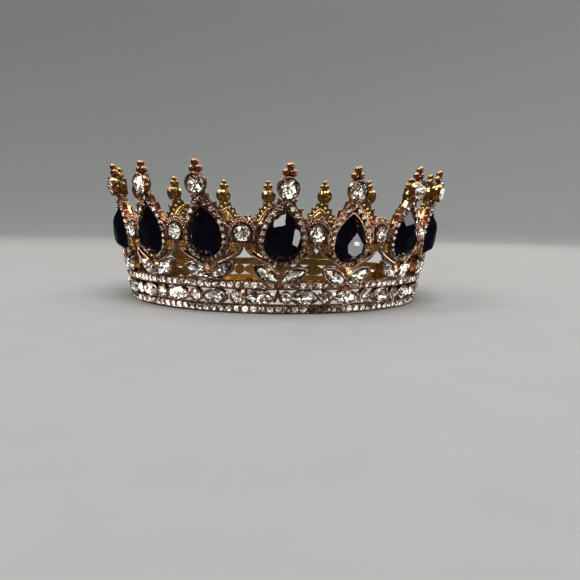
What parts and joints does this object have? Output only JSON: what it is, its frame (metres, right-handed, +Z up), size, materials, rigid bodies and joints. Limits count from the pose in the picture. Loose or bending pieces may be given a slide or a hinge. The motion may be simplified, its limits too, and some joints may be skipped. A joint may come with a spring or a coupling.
{
  "type": "rhinestone crown",
  "caption": "Closed round crown with pointed settings: dark purple pear stones in halos, clear round stones, leaf navettes and a stone-set band in rose gold metal.",
  "frame": {"origin": "middle of the lower rail's flat underside, on the surface that the crown stands on", "axes": "+Z up along the crown's axis, -Y towards the viewer, with the front point on -Y and +X to the viewer's right"},
  "size_m": [0.1449, 0.1495, 0.0555],
  "materials": {
    "metal": "polished rose gold plating with dark recesses",
    "dark_stone": "faceted, foil backed, very dark purple",
    "clear_stone": "faceted, foil backed, clear"
  },
  "bodies": {
    "root": {"frame": "metal", "pear_01": "dark_stone", "pear_02": "dark_stone", "pear_03": "dark_stone", "pear_04": "dark_stone", "pear_05": "dark_stone", "pear_06": "dark_stone", "pear_07": "dark_stone", "pear_08": "dark_stone", "pear_09": "dark_stone", "pear_10": "dark_stone", "pear_11": "dark_stone", "pear_12": "dark_stone", "pear_13": "dark_stone", "pear_14": "dark_stone", "pear_15": "dark_stone", "pear_16": "dark_stone", "top_stone_01": "clear_stone", "top_stone_02": "clear_stone", "top_stone_03": "clear_stone", "top_stone_04": "clear_stone", "top_stone_05": "clear_stone", "top_stone_06": "clear_stone", "top_stone_07": "clear_stone", "top_stone_08": "clear_stone", "top_stone_09": "clear_stone", "top_stone_10": "clear_stone", "top_stone_11": "clear_stone", "top_stone_12": "clear_stone", "top_stone_13": "clear_stone", "top_stone_14": "clear_stone", "top_stone_15": "clear_stone", "top_stone_16": "clear_stone", "between_stones": "clear_stone", "leaf_stones": "clear_stone", "band_navettes": "clear_stone", "band_rounds": "clear_stone"}
  },
  "joints": []
}
